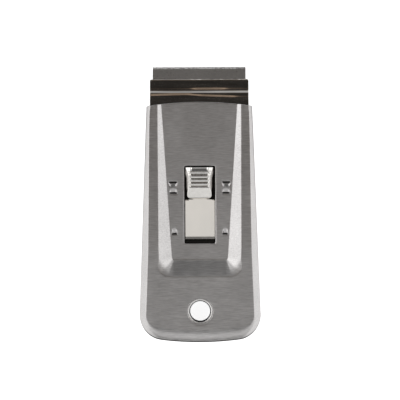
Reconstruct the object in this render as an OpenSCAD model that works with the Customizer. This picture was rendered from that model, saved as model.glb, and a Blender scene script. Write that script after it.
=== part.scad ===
// Razor blade scraper: a pressed steel casing with a sliding blade carrier and a sprung thumb button.
// It lies on its back. +Y points to the blade, +Z to the button, and Z = 0 is the table.
// The origin is under the middle of the overall length. Sizes are in millimetres.

/* [Casing outline] */
// Length of the casing, from the rear end to the middle of the mouth
body_len = 99.3; // [98:0.1:106]
// Width of the casing at the mouth
mouth_w = 43.7; // [43.2:0.1:46]
// Widest width of the casing, near the rear end
rear_w = 50.1; // [48:0.1:54]
// Radius of the two rear corners, seen from above
corner_r = 10.4; // [8:0.1:13]
// Radius of the bowed rear end
rear_bow_r = 126; // [100:1:200]
// Radius of the bowed edge of the mouth
mouth_bow_r = 140; // [110:1:200]
// Length of the soft roll over the rear end
rear_roll = 5.4; // [4.5:0.1:6]
// Height of the upright skirt under the flanks
skirt_h = 3.5; // [3.4:0.05:3.8]
// Angle of the flanks above the table
flank_angle = 61; // [58:0.5:66]

/* [Casing sheet] */
// Thickness of the front pressing
sheet_t = 0.8; // [0.6:0.05:0.9]
// Thickness of the folded hem
hem_t = 0.7; // [0.5:0.05:0.9]
// Width of the hem under the back plate
hem_w = 2.6; // [2:0.1:3.5]
// Thickness of the back plate
back_t = 0.7; // [0.5:0.05:0.9]
// Gap round the edge of the back plate
back_gap = 0.05; // [0.02:0.01:0.1]
// How far the back plate stops short of the mouth
back_short = 0.6; // [0.3:0.1:1.5]

/* [Recessed panel] */
// Width of the recessed panel at the mouth
panel_mouth_w = 31.3; // [29:0.1:33]
// Width of the recessed panel at its rear end
panel_rear_w = 22.5; // [21:0.1:25]
// Length of panel behind the window
panel_tail = 6.9; // [5:0.1:9]
// Height of the rim above the panel at the mouth
rise_mouth = 0.92; // [0.6:0.02:1.3]
// Height of the rim above the panel at the rear
rise_rear = 3.22; // [2.6:0.02:4]
// Length of the rim that slopes, from the mouth back
rim_slope_len = 62.4; // [55:0.1:70]
// Angle of the flutes above the panel
flute_angle = 29.5; // [25:0.5:36]
// Angle of the slope behind the panel
tail_angle = 26; // [22:0.5:32]
// Corner radius of the panel at its rear end
panel_corner_r = 1.5; // [0.8:0.1:3]

/* [Window] */
// Width of the thumb window
window_w = 12.72; // [12.6:0.02:14]
// Distance from the mouth to the window
window_setback = 26.4; // [25.5:0.1:27.5]
// Corner radius of the window
window_r = 0.8; // [0.4:0.1:1.5]

/* [Lanced feet] */
// Width of the front pair of feet
front_foot_w = 3.4; // [2.8:0.1:4]
// Length of the front pair of feet
front_foot_len = 5.6; // [4.5:0.1:6.2]
// Distance between the middles of the front pair
front_foot_span = 21.7; // [21.2:0.1:22.2]
// Distance from the window's front edge to the middle of the front pair
front_foot_setback = 9.07; // [8:0.1:10]
// Width of the rear pair of feet
rear_foot_w = 2.55; // [2:0.05:3]
// Length of the rear pair of feet
rear_foot_len = 3.55; // [3:0.05:4.5]
// Distance between the middles of the rear pair
rear_foot_span = 20.9; // [20.4:0.1:21.4]
// Distance from the window's front edge to the middle of the rear pair
rear_foot_setback = 27.1; // [26.5:0.1:28]
// Height of the feet above the spring's wings
foot_gap = 0.25; // [0.15:0.01:0.35]

/* [Hang hole] */
// Distance of the hole from the rear end
hole_setback = 13; // [12:0.1:14]
// Clear radius of the hole
hole_r = 4.1; // [3.5:0.05:4.6]
// Wall thickness of the eyelet
eyelet_t = 0.5; // [0.35:0.05:0.6]
// Radius of the eyelet's dished rim
dish_r = 5.4; // [5.2:0.1:6.5]
// Depth of the dished rim
dish_depth = 0.8; // [0.6:0.05:1.2]
// Radius of the flange under the back plate
flange_r = 6.2; // [5.6:0.1:7]
// Thickness of the flange
flange_t = 0.4; // [0.3:0.05:0.45]
// Gap round the eyelet
eyelet_gap = 0.05; // [0.02:0.01:0.1]

/* [Blade] */
// How far the blade's edge stands out of the mouth
blade_out = 14.57; // [14:0.1:16]
// Width of the blade
blade_w = 38.5; // [37.5:0.1:39]
// Depth of the blade, from its edge to its back
blade_depth = 18.8; // [18.2:0.1:19.2]
// Thickness of the blade
blade_t = 0.25; // [0.2:0.01:0.35]
// Depth of the honed bevel
bevel_depth = 0.75; // [0.5:0.05:1.2]
// Thickness left at the honed edge
edge_t = 0.02; // [0.02:0.01:0.06]
// Length of the folded spine
spine_len = 35.2; // [33:0.1:36]
// Depth of the folded spine
spine_depth = 4.2; // [3.6:0.1:4.6]
// Thickness of the folded spine
spine_t = 1.2; // [1:0.05:1.3]
// Thickness of the fold behind the blade
spine_fold = 0.4; // [0.3:0.05:0.6]

/* [Carrier] */
// Thickness of the carrier plate
carrier_t = 0.8; // [0.7:0.05:1]
// Width of the carrier's jaw
carrier_w = 40.8; // [40:0.1:41]
// Width of the carrier's tail
tail_w = 25.8; // [25:0.1:26.2]
// How far the carrier stops short of the clamp's lip
carrier_short = 0.6; // [0.3:0.1:1.5]
// Length of jaw behind the clamp plate
jaw_tail = 2; // [1.5:0.1:3]
// Length of tail behind the spring's bend
tail_len = 4; // [2:0.1:5]
// Gap between carrier and back plate
slide_gap = 0.2; // [0.1:0.02:0.3]
// Gap round the leaf, where the carrier is cut away under the button
relief_gap = 0.55; // [0.4:0.05:0.7]
// Length of that cut behind the button
relief_back = 1; // [0.6:0.1:1.5]
// Length of that cut in front of the button
relief_front = 2; // [1:0.1:3]
// Gap round the spine in its slot
spine_gap = 0.1; // [0.05:0.01:0.2]
// Slide of the blade, from out to safe
travel = 17.4; // [16.5:0.1:17.8]

/* [Clamp plate] */
// Width of the clamp plate
clamp_w = 40.96; // [40:0.02:41.2]
// Thickness of the clamp plate
clamp_t = 0.6; // [0.5:0.05:0.7]
// Distance from the blade's edge to the clamp's lip
lip_setback = 5; // [4:0.1:6]
// Length of the flat that lies on the blade
lip_len = 3.3; // [2.5:0.1:4]
// Length of the set-up bend
jog_len = 3.95; // [3:0.05:4.5]
// Length of the riveted tail
clamp_tail = 5.6; // [5:0.1:6.5]
// Length of the bend down to the tail
drop_len = 2; // [1.5:0.1:2.5]
// Distance from the spine's slot to that bend
drop_gap = 0.4; // [0.2:0.1:0.8]
// Gap between the spine and the clamp plate
spine_clear = 0.17; // [0.1:0.01:0.25]
// Gap between the clamp plate and the panel
head_room = 0.38; // [0.3:0.02:0.5]
// Radius of the two corners at the lip
lip_corner_r = 0.6; // [0.3:0.1:1.2]

/* [Spring] */
// Thickness of the spring strip
spring_t = 0.5; // [0.4:0.05:0.55]
// Width of the button leaf
leaf_w = 12.1; // [11.6:0.1:12.1]
// Width of the leaf under the button
neck_w = 7.2; // [6:0.1:8.4]
// Distance from the leaf's shoulders to the button
shoulder_gap = 0.3; // [0.1:0.05:0.6]
// Gap between the leaf and the panel
leaf_gap = 0.28; // [0.2:0.02:0.32]
// Length of leaf from the bend's centre to the button
leaf_len = 15.4; // [14.6:0.1:15.6]
// Length of the foot under the leaf
foot_len = 7.2; // [6.5:0.1:7.6]
// Width of the spring's foot over both wings
wing_w = 25.4; // [24.8:0.1:25.6]
// Width of the space between the wings
wing_space = 14.4; // [14:0.1:15]
// How far the wings reach in front of the bend's centre
wing_len = 22.6; // [21:0.1:24]
// Angle left open between the bend and the foot
bend_open = 12; // [8:1:20]

/* [Button] */
// Length of the button
button_len = 13.16; // [12.6:0.02:13.6]
// Width of the button across its flared front
button_w = 11.8; // [11.4:0.1:12]
// Width of the button at its waist
waist_w = 10.4; // [10:0.1:10.8]
// Width of the button at its heel
heel_w = 10.8; // [10.6:0.1:11.4]
// Length of the flared front
flare_len = 3; // [2.4:0.1:3.4]
// Length over which the flare narrows to the waist
flare_fall = 2; // [1.4:0.1:2.6]
// Height of the button above the leaf
button_h = 3.2; // [2.6:0.1:3.6]
// Gap between button and window at the front
button_gap = 0.41; // [0.3:0.01:0.6]
// Gap between button and window at the rear, blade safe
window_spare = 1.1; // [0.8:0.1:1.5]
// Corner radius of the button, seen from above
button_r = 1.2; // [0.8:0.1:1.6]
// Length of the sloping front of the button
nose_len = 2.5; // [1.8:0.1:3]
// Length of the ribbed top
grip_len = 5.9; // [5.2:0.1:6.4]
// Fall of the ribbed top, front to rear
grip_fall = 0.4; // [0.2:0.05:0.6]
// Height of the button at its rear edge
heel_h = 0.7; // [0.5:0.05:1]
// Number of grip ribs
rib_count = 3; // [2:1:3]
// Distance from rib to rib
rib_pitch = 1.55; // [1.3:0.05:1.7]
// Radius of a rib
rib_r = 0.42; // [0.3:0.02:0.5]
// How deep a rib's middle lies under the top
rib_sink = 0.1; // [0:0.02:0.2]
// Length of a rib
rib_len = 6.6; // [5.5:0.1:7.5]
// Radius of the stud staked through the leaf
stud_r = 1.3; // [1:0.05:1.6]
// How far the staked stud stands below the leaf
stud_out = 0.2; // [0.1:0.05:0.25]

/* [Rivets] */
// Radius of a rivet's shank
shank_r = 0.9; // [0.7:0.05:1.1]
// Radius of a rivet's head
head_r = 1.5; // [1.35:0.05:1.8]
// Height of a jaw rivet's head
jaw_head_h = 0.6; // [0.4:0.05:0.8]
// Height of a spring rivet's head
spring_head_h = 0.22; // [0.15:0.01:0.25]
// Gap round a rivet's shank
rivet_gap = 0.02; // [0.01:0.01:0.05]
// Distance between the two jaw rivets
jaw_rivet_span = 27; // [24:0.5:30]
// Distance between the two spring rivets
spring_rivet_span = 7; // [5:0.5:8]
// Distance from the bend's centre to the spring rivets
spring_rivet_y = 2.4; // [2:0.1:2.8]

/* [Guide ribs] */
// Gap between the carrier's tail and a guide rib
guide_gap = 0.25; // [0.15:0.01:0.35]
// Width of a guide rib
guide_w = 1.8; // [1.4:0.1:2.2]
// Height of a guide rib
guide_h = 0.7; // [0.5:0.05:0.8]
// Width of the groove under a guide rib
groove_w = 0.9; // [0.6:0.05:1]
// How far the tail overruns the ribs, blade safe
guide_back = 1; // [0:0.1:2]
// Distance kept between the jaw and the ribs, blade safe
guide_short = 0.6; // [0.4:0.1:1]

/* [Hidden] */
$fn = 64;
fine = 0.02;
past = 3;

// Places along Y
edge_y = (body_len + blade_out) / 2;
rear_y = -edge_y;
mouth_y = edge_y - blade_out;
blade_back_y = edge_y - blade_depth;
window_y1 = mouth_y - window_setback;
button_y1 = window_y1 - button_gap;
button_y0 = button_y1 - button_len;
window_y0 = button_y0 - travel - window_spare;
bend_y = button_y0 - leaf_len;
panel_y0 = window_y0 - panel_tail;
rim_kink_y = mouth_y - rim_slope_len;
hole_y = rear_y + hole_setback;
lip_y = edge_y - lip_setback;
drop_y1 = blade_back_y - spine_gap - drop_gap;
drop_y0 = drop_y1 - drop_len;
clamp_y0 = drop_y0 - clamp_tail;
jaw_y0 = clamp_y0 - jaw_tail;
jaw_rivet_y = drop_y0 - clamp_tail / 2;
tail_y0 = bend_y - tail_len;
guide_y1 = jaw_y0 - travel - guide_short;
guide_y0 = tail_y0 - travel + guide_back;

// Heights
back_z1 = hem_t + back_t;
carrier_z0 = back_z1 + slide_gap;
carrier_z1 = carrier_z0 + carrier_t;
blade_z1 = carrier_z1 + blade_t;
spine_z0 = carrier_z1 + (blade_t - spine_t) / 2;
spine_z1 = spine_z0 + spine_t;
clamp_z1 = spine_z1 + spine_clear;
panel_z0 = clamp_z1 + clamp_t + head_room;
panel_z1 = panel_z0 + sheet_t;
rim_mouth_z = panel_z1 + rise_mouth;
rim_z = panel_z1 + rise_rear;
foot_z1 = carrier_z1 + spring_t;
leaf_z1 = panel_z0 - leaf_gap;
leaf_z0 = leaf_z1 - spring_t;
bend_z = (foot_z1 + leaf_z0) / 2;
bend_r = (leaf_z0 - foot_z1) / 2;
foot_drop = panel_z0 - foot_z1 - foot_gap;

// Widths
side_slope = (rear_w - mouth_w) / 2 / (mouth_y - hole_y);
function half_w(y) = mouth_w / 2 + (mouth_y - y) * side_slope;
function panel_half(y) =
  (panel_mouth_w + (panel_rear_w - panel_mouth_w) * (mouth_y - y) / (mouth_y - panel_y0)) / 2;

// Outline of the casing seen from above, drawn in by side_in at the sides and rear_in at the rear
function corner_x(side_in, rear_in) =
  half_w(rear_y + rear_in + corner_r) - side_in - corner_r;
function corner_y(side_in, rear_in) =
  rear_y + rear_in + rear_bow_r - sqrt(pow(rear_bow_r - corner_r, 2) - pow(corner_x(side_in, rear_in), 2));
function half_outline(side_in, rear_in, y1) = let(
  cx = corner_x(side_in, rear_in),
  cy = corner_y(side_in, rear_in),
  bow = asin(cx / (rear_bow_r - corner_r))
) concat(
  [[half_w(y1) - side_in, y1]],
  [for (i = [0:8]) let(a = i * (90 - bow) / 8) [cx + corner_r * cos(a), cy - corner_r * sin(a)]],
  [for (i = [1:3]) let(a = bow * (1 - i / 4))
    [rear_bow_r * sin(a), rear_y + rear_in + rear_bow_r * (1 - cos(a))]]
);
function mirrored(points) =
  [for (i = [len(points) - 1:-1:0]) [-points[i][0], points[i][1]]];
module outline(side_in, rear_in, y1) {
  right = half_outline(side_in, rear_in, y1);
  polygon(concat(right, [[0, rear_y + rear_in]], mirrored(right)));
}

// Closed form of the casing, drawn in by inner, from z0 up and running y_past beyond the mouth
module casing_form(inner, z0, y_past) {
  skirt = skirt_h - inner * tan(45 - flank_angle / 2);
  top = rim_z - inner;
  rim_fall = rise_rear - rise_mouth;
  low_top = rim_mouth_z - inner - y_past * rim_fall / rim_slope_len;
  roll = rear_roll - inner;
  y1 = mouth_y + y_past;
  hull() {
    translate([0, 0, z0]) linear_extrude(skirt - z0) outline(inner, inner, y1);
    translate([0, 0, low_top - fine]) linear_extrude(fine)
      outline(inner + (low_top - skirt) / tan(flank_angle), inner, y1);
    for (a = [15:15:90]) {
      z = low_top + (top - low_top) * sin(a);
      translate([0, 0, z - fine]) linear_extrude(fine)
        outline(inner + (z - skirt) / tan(flank_angle), inner + roll * (1 - cos(a)),
          rim_kink_y - rear_roll * cos(a));
    }
  }
}

// Space of the recessed panel, grown by the sheet for its underside
module panel_form(grow) {
  up = rise_rear + 2;
  z0 = panel_z1 - grow;
  out = grow * tan(flute_angle / 2);
  back = grow * tan(tail_angle / 2);
  y1 = mouth_y + past;
  hull()
    for (h = [0, up]) {
      wide = out + h / tan(flute_angle);
      y0 = panel_y0 - back - h / tan(tail_angle);
      r = panel_corner_r + h;
      translate([0, 0, z0 + h]) linear_extrude(fine) {
        translate([0, y1 - fine]) square([2 * (panel_half(y1) + wide), 2 * fine], center = true);
        for (side = [-1, 1])
          translate([side * (panel_half(panel_y0) + wide - r), y0 + r]) circle(r, $fn = 32);
      }
    }
}

// A strip of panel cut free and pressed inwards: down at its rear end, and at both ends if saddle
module foot_strip(width, length, saddle) {
  drop = foot_drop;
  crest = 0.06 * length;
  bend_y1 = saddle ? crest : length / 2;
  end_drop = saddle ? drop : 0;
  rotate([90, 0, 90]) linear_extrude(width, center = true) {
    polygon([
      [-length / 2, panel_z0 - drop], [-length / 2, panel_z1 - drop], [-crest, panel_z1],
      [bend_y1, panel_z1], [length / 2 + fine, panel_z1 - end_drop],
      [length / 2 + fine, panel_z0 - end_drop], [bend_y1, panel_z0], [-crest, panel_z0]
    ]);
  }
}
module at_feet(span, setback) {
  for (side = [-1, 1])
    translate([side * span / 2, window_y1 - setback, 0]) children();
}

module window_plan() {
  y_mid = (window_y0 + window_y1) / 2;
  long = window_y1 - window_y0;
  translate([0, y_mid]) {
    square([window_w - 2 * window_r, long], center = true);
    square([window_w, long - 2 * window_r], center = true);
    for (sx = [-1, 1], sy = [-1, 1])
      translate([sx * (window_w / 2 - window_r), sy * (long / 2 - window_r)]) circle(window_r);
  }
}

// Dished hole: a tube that opens into a cone at the top
module dish(r_tube, r_rim, z0, z_neck, z_rim) {
  translate([0, hole_y, 0]) rotate_extrude()
    polygon([[0, z0], [r_tube, z0], [r_tube, z_neck], [r_rim, z_rim], [r_rim, z_rim + past],
      [0, z_rim + past]]);
}

module front_shell() {
  embed = 0.3;
  color("silver") {
    difference() {
      intersection() {
        casing_form(0, 0, past);
        translate([0, mouth_y - mouth_bow_r, -1]) cylinder(r = mouth_bow_r, h = rim_z + 2, $fn = 256);
      }
      panel_form(0);
      difference() {
        casing_form(sheet_t, hem_t, 2 * past);
        panel_form(sheet_t);
      }
      translate([0, 0, -1]) linear_extrude(hem_t + 2) outline(hem_w, hem_w, mouth_y + 2 * past);
      translate([0, 0, panel_z0 - 1]) linear_extrude(sheet_t + 2) window_plan();
      translate([0, 0, panel_z0 - 1]) {
        at_feet(front_foot_span, front_foot_setback)
          translate([-front_foot_w / 2, -front_foot_len / 2, 0])
            cube([front_foot_w, front_foot_len, sheet_t + 2]);
        at_feet(rear_foot_span, rear_foot_setback)
          translate([-rear_foot_w / 2, -rear_foot_len / 2, 0])
            cube([rear_foot_w, rear_foot_len, sheet_t + 2]);
      }
      dish(hole_r + eyelet_t + eyelet_gap, dish_r + eyelet_gap, rim_z - 2 * sheet_t,
        rim_z - dish_depth, rim_z);
    }
    at_feet(front_foot_span, front_foot_setback)
      foot_strip(front_foot_w + 2 * embed, front_foot_len, true);
    at_feet(rear_foot_span, rear_foot_setback)
      foot_strip(rear_foot_w + 2 * embed, rear_foot_len, false);
  }
}

module back_plate() {
  inset = sheet_t + back_gap;
  guide_x = tail_w / 2 + guide_gap;
  color("lightgrey") difference() {
    union() {
      intersection() {
        translate([0, 0, hem_t]) linear_extrude(back_t) outline(inset, inset, mouth_y + past);
        translate([0, mouth_y - mouth_bow_r - back_short, 0])
          cylinder(r = mouth_bow_r, h = rim_z, $fn = 256);
      }
      for (sx = [-1, 1])
        translate([sx * (guide_x + guide_w / 2), (guide_y0 + guide_y1) / 2, back_z1 + guide_h / 2 - fine])
          cube([guide_w, guide_y1 - guide_y0, guide_h + 2 * fine], center = true);
    }
    for (sx = [-1, 1])
      translate([sx * (guide_x + guide_w / 2), (guide_y0 + guide_y1) / 2, hem_t + guide_h / 2 - 0.5])
        cube([groove_w, guide_y1 - guide_y0 - groove_w, guide_h + 1], center = true);
    translate([0, hole_y, 0]) cylinder(r = hole_r + eyelet_t + eyelet_gap, h = rim_z);
  }
}

module hang_eyelet() {
  r1 = hole_r + eyelet_t;
  neck_z = rim_z - dish_depth;
  color("silver") translate([0, hole_y, 0]) rotate_extrude()
    polygon([
      [hole_r, hem_t - flange_t], [flange_r, hem_t - flange_t], [flange_r, hem_t], [r1, hem_t],
      [r1, neck_z], [dish_r, rim_z], [dish_r - eyelet_t, rim_z], [hole_r, neck_z]
    ]);
}

module rivet_holes(span, y) {
  for (sx = [-1, 1])
    translate([sx * span / 2, y, 0]) {
      cylinder(r = shank_r + rivet_gap, h = panel_z0);
      translate([0, 0, carrier_z0 - fine]) cylinder(r1 = head_r + rivet_gap, r2 = shank_r + rivet_gap,
        h = head_r - shank_r);
    }
}
module rivet(top, head_h) {
  sink = head_r - shank_r;
  rotate_extrude()
    polygon([
      [0, carrier_z0], [head_r - fine, carrier_z0], [shank_r, carrier_z0 + sink - fine], [shank_r, top],
      [head_r, top], [head_r, top + head_h * 0.5], [head_r * 0.75, top + head_h], [0, top + head_h]
    ]);
}

module carrier_plate() {
  y1 = lip_y - carrier_short;
  relief_w = leaf_w + 2 * relief_gap;
  relief_y0 = button_y0 - relief_back;
  relief_y1 = button_y1 + relief_front;
  slot_len = spine_len + 2 * spine_gap;
  color("gainsboro") difference() {
    translate([0, 0, carrier_z0]) linear_extrude(carrier_t) {
      translate([-carrier_w / 2, jaw_y0]) square([carrier_w, y1 - jaw_y0]);
      translate([-tail_w / 2, tail_y0]) square([tail_w, jaw_y0 - tail_y0 + 1]);
    }
    translate([-slot_len / 2, blade_back_y - spine_gap, 0])
      cube([slot_len, spine_depth + 2 * spine_gap, rim_z]);
    translate([-relief_w / 2, relief_y0, 0]) cube([relief_w, relief_y1 - relief_y0, rim_z]);
    rivet_holes(jaw_rivet_span, jaw_rivet_y);
    rivet_holes(spring_rivet_span, bend_y + spring_rivet_y);
  }
}

// Side view of the clamp plate: lip on the blade, set up over the spine, then down to the carrier
module clamp_side() {
  flat_y = lip_y - lip_len;
  up_y = flat_y - jog_len;
  turn = clamp_t * tan(atan((clamp_z1 - carrier_z1) / drop_len) / 2);
  polygon([
    [lip_y, blade_z1], [flat_y, blade_z1], [up_y, clamp_z1], [drop_y1, clamp_z1],
    [drop_y0, carrier_z1], [clamp_y0, carrier_z1], [clamp_y0, carrier_z1 + clamp_t],
    [drop_y0 - turn, carrier_z1 + clamp_t], [drop_y1 - turn, clamp_z1 + clamp_t],
    [up_y, clamp_z1 + clamp_t], [flat_y, blade_z1 + clamp_t], [lip_y, blade_z1 + clamp_t]
  ]);
}

module clamp_plate() {
  color("dimgrey") difference() {
    rotate([90, 0, 90]) linear_extrude(clamp_w, center = true) clamp_side();
    for (sx = [-1, 1])
      translate([sx * (clamp_w / 2 - lip_corner_r), lip_y - lip_corner_r, 0]) difference() {
        translate([-(sx < 0 ? past : 0), 0, 0]) cube([past, past, rim_z]);
        cylinder(r = lip_corner_r, h = rim_z);
      }
    rivet_holes(jaw_rivet_span, jaw_rivet_y);
  }
}

module blade() {
  mid_z = carrier_z1 + blade_t / 2;
  color("darkgrey") rotate([90, 0, 90]) linear_extrude(blade_w, center = true)
    polygon([
      [blade_back_y + spine_fold, carrier_z1], [edge_y - bevel_depth, carrier_z1], [edge_y, mid_z - edge_t / 2],
      [edge_y, mid_z + edge_t / 2], [edge_y - bevel_depth, blade_z1], [blade_back_y + spine_fold, blade_z1]
    ]);
}

module blade_spine() {
  color("grey") difference() {
    translate([-spine_len / 2, blade_back_y, spine_z0]) cube([spine_len, spine_depth, spine_t]);
    translate([-blade_w / 2, blade_back_y + spine_fold, carrier_z1]) cube([blade_w, spine_depth, blade_t]);
  }
}

module jaw_rivets() {
  color("silver") for (sx = [-1, 1])
    translate([sx * jaw_rivet_span / 2, jaw_rivet_y, 0]) rivet(carrier_z1 + clamp_t, jaw_head_h);
}

module spring_foot() {
  color("gainsboro") difference() {
    translate([-wing_w / 2, bend_y, carrier_z1]) cube([wing_w, wing_len, spring_t]);
    translate([-wing_space / 2, bend_y + foot_len, 0]) cube([wing_space, wing_len, rim_z]);
    rivet_holes(spring_rivet_span, bend_y + spring_rivet_y);
  }
}

module spring_rivets() {
  color("silver") for (sx = [-1, 1])
    translate([sx * spring_rivet_span / 2, bend_y + spring_rivet_y, 0]) rivet(foot_z1, spring_head_h);
}

module button_leaf() {
  r1 = bend_r + spring_t;
  color("whitesmoke") difference() {
    union() {
      translate([-leaf_w / 2, bend_y, leaf_z0]) cube([leaf_w, leaf_len - shoulder_gap, spring_t]);
      translate([-neck_w / 2, bend_y, leaf_z0]) cube([neck_w, button_y1 - button_r - bend_y, spring_t]);
      translate([0, bend_y, bend_z]) rotate([0, 90, 0]) difference() {
        cylinder(r = r1, h = leaf_w, center = true);
        cylinder(r = bend_r, h = leaf_w + 1, center = true);
        translate([-r1 - 1, 0, -leaf_w]) cube([2 * r1 + 2, r1 + 1, 2 * leaf_w]);
        rotate([0, 0, -bend_open]) translate([0, 0, -leaf_w]) cube([r1 + 1, r1 + 1, 2 * leaf_w]);
      }
    }
    translate([0, (button_y0 + button_y1) / 2, 0]) cylinder(r = stud_r, h = rim_z);
  }
}

// Side view of the button: steep nose, ribbed top, long slope down to the heel
module button_side() {
  top = leaf_z1 + button_h;
  polygon([
    [button_y0, leaf_z1], [button_y1, leaf_z1], [button_y1, leaf_z1 + heel_h],
    [button_y1 - nose_len, top], [button_y1 - nose_len - grip_len, top - grip_fall],
    [button_y0, leaf_z1 + heel_h]
  ]);
}

// The button seen from above: rounded heel, waist and flared front
module button_plan() {
  flare_y = button_y1 - flare_len;
  heel_x = heel_w / 2;
  front_x = button_w / 2;
  right = [
    [heel_x - button_r, button_y0], [heel_x, button_y0 + button_r], [waist_w / 2, flare_y - flare_fall],
    [front_x, flare_y], [front_x, button_y1 - button_r], [front_x - button_r, button_y1]
  ];
  polygon(concat(right, mirrored(right)));
  for (sx = [-1, 1]) {
    translate([sx * (heel_x - button_r), button_y0 + button_r]) circle(button_r);
    translate([sx * (front_x - button_r), button_y1 - button_r]) circle(button_r);
  }
}

module thumb_button() {
  grip_y = button_y1 - nose_len - grip_len / 2;
  fall = grip_fall / grip_len;
  mid_y = (button_y0 + button_y1) / 2;
  color("white") {
    intersection() {
      rotate([90, 0, 90]) linear_extrude(button_w, center = true) button_side();
      linear_extrude(rim_z + past) button_plan();
    }
    for (i = [0:rib_count - 1]) {
      off = (i - (rib_count - 1) / 2) * rib_pitch;
      translate([0, grip_y + off, leaf_z1 + button_h - grip_fall / 2 + off * fall - rib_sink])
        rotate([0, 90, 0]) cylinder(r = rib_r, h = rib_len, center = true);
    }
    translate([0, mid_y, leaf_z0 - stud_out]) cylinder(r = stud_r, h = spring_t + stud_out + heel_h / 2);
  }
}

front_shell();
back_plate();
hang_eyelet();
carrier_plate();
clamp_plate();
blade();
blade_spine();
jaw_rivets();
spring_foot();
spring_rivets();
button_leaf();
thumb_button();
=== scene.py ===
import math
import bpy
import bmesh
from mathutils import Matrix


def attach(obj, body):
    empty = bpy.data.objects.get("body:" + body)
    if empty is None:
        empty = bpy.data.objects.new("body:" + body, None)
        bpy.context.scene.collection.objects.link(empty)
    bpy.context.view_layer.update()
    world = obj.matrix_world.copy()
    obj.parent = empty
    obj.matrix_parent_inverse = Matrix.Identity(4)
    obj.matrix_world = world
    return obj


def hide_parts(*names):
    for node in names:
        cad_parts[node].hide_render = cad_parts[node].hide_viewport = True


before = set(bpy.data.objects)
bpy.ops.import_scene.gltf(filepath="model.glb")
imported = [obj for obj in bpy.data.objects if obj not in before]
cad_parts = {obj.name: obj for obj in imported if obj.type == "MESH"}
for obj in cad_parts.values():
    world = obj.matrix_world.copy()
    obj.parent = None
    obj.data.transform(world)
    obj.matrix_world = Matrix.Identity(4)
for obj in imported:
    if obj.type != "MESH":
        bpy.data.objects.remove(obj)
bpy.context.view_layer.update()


# Back plate. Flat stainless sheet, blanked with two pressed guide ribs, that closes the casing from
# below. It lies on the hem of the front shell and is held there by the hem and by the hang eyelet.

MM = 0.001
inner_z = 1.2


def linear(hex_colour):
    """Linear RGBA of an sRGB hex colour."""
    parts = [int(hex_colour[i:i + 2], 16) / 255 for i in (1, 3, 5)]
    return [c / 12.92 if c <= 0.04045 else ((c + 0.055) / 1.055) ** 2.4 for c in parts] + [1.0]


def add_node(tree, kind, inputs=None, **settings):
    """Adds a node: settings are its properties, inputs are values or sockets to link, by socket."""
    node = tree.nodes.new(kind)
    for name, value in settings.items():
        setattr(node, name, value)
    for name, value in (inputs or {}).items():
        if isinstance(value, bpy.types.NodeSocket):
            tree.links.new(value, node.inputs[name])
        else:
            node.inputs[name].default_value = value
    return node


def steel(name, dark, light, streak_mm, rough, relief):
    """Metal with streaks of streak_mm (length in x, y and z), from dark to light, rough from low to high."""
    material = bpy.data.materials.new(name)
    material.use_nodes = True
    tree = material.node_tree
    tree.nodes.clear()
    place = add_node(tree, "ShaderNodeTexCoord")
    stretch = add_node(tree, "ShaderNodeMapping", {
        "Vector": place.outputs["Object"], "Scale": [1000 / mm for mm in streak_mm]})
    streaks = add_node(tree, "ShaderNodeTexNoise", {
        "Vector": stretch.outputs["Vector"], "Scale": 1.0, "Detail": 3.0, "Roughness": 0.6})
    # Over the streaks lies a faint cloud of handling marks, about 11 mm across.
    cloud = add_node(tree, "ShaderNodeTexNoise", {
        "Vector": place.outputs["Object"], "Scale": 90.0, "Detail": 2.0})
    blend = add_node(tree, "ShaderNodeMath", {
        0: cloud.outputs[0], 1: 0.35, 2: streaks.outputs[0]}, operation="MULTIPLY_ADD")
    tone = add_node(tree, "ShaderNodeMapRange", {
        "Value": blend.outputs[0], "From Min": 0.45, "From Max": 0.9})
    colour = add_node(tree, "ShaderNodeMix", {
        0: tone.outputs[0], 6: linear(dark), 7: linear(light)}, data_type="RGBA")
    gloss = add_node(tree, "ShaderNodeMapRange", {
        "Value": blend.outputs[0], "From Min": 0.4, "From Max": 0.95,
        "To Min": rough[0], "To Max": rough[1]})
    bump = add_node(tree, "ShaderNodeBump", {
        "Height": blend.outputs[0], "Strength": relief, "Distance": 0.00002})
    shader = add_node(tree, "ShaderNodeBsdfPrincipled", {
        "Base Color": colour.outputs[2], "Metallic": 1.0, "Roughness": gloss.outputs[0],
        "Normal": bump.outputs["Normal"]})
    add_node(tree, "ShaderNodeOutputMaterial", {"Surface": shader.outputs["BSDF"]})
    return material


def paint_shade(material, axis, test, limits_mm, colour):
    """Paints shade on a metal: a dark colour where its place along an axis passes a test against limits."""
    tree = material.node_tree
    shader = next(n for n in tree.nodes if n.type == "BSDF_PRINCIPLED")
    unshaded_colour = shader.inputs["Base Color"].links[0].from_socket
    place = add_node(tree, "ShaderNodeTexCoord")
    axes = add_node(tree, "ShaderNodeSeparateXYZ", {"Vector": place.outputs["Object"]})
    values = [axes.outputs[axis]] + [limit * MM for limit in limits_mm]
    dark = add_node(tree, "ShaderNodeMath", dict(enumerate(values)), operation=test)
    mixed = add_node(tree, "ShaderNodeMix", {
        0: dark.outputs[0], 6: unshaded_colour, 7: linear(colour)}, data_type="RGBA")
    tree.links.new(mixed.outputs[2], shader.inputs["Base Color"])


def dress(node, material):
    """Gives a CAD node that stays in the scene its metal."""
    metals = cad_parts[node].data.materials
    metals.clear()
    metals.append(material)


# Brushed stainless sheet: a belt drawn across the strip leaves hair-fine lines along X, so flat
# faces read satin grey and slopes catch long soft lights.
sheet_look = ("#afadac", "#d1cfce", (3.6, 0.34, 0.34), (0.29, 0.38), 0.3)
brushed_stainless = steel("brushed_stainless_sheet", *sheet_look)
# The back plate is the same sheet, but its inner face is painted dark: painted shade for the inside of the
# casing.
back_sheet_painted_shade = steel("brushed_stainless_back_painted_shade", *sheet_look)
paint_shade(back_sheet_painted_shade, "Z", "GREATER_THAN", [inner_z], "#262422")
dress("back_plate", back_sheet_painted_shade)


# Front shell. One pressing of brushed stainless sheet: a sunk centre panel between two flutes, the
# thumb window, four lanced feet, sloped flanks, a rolled rear end, and a hem folded under the back.

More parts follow.
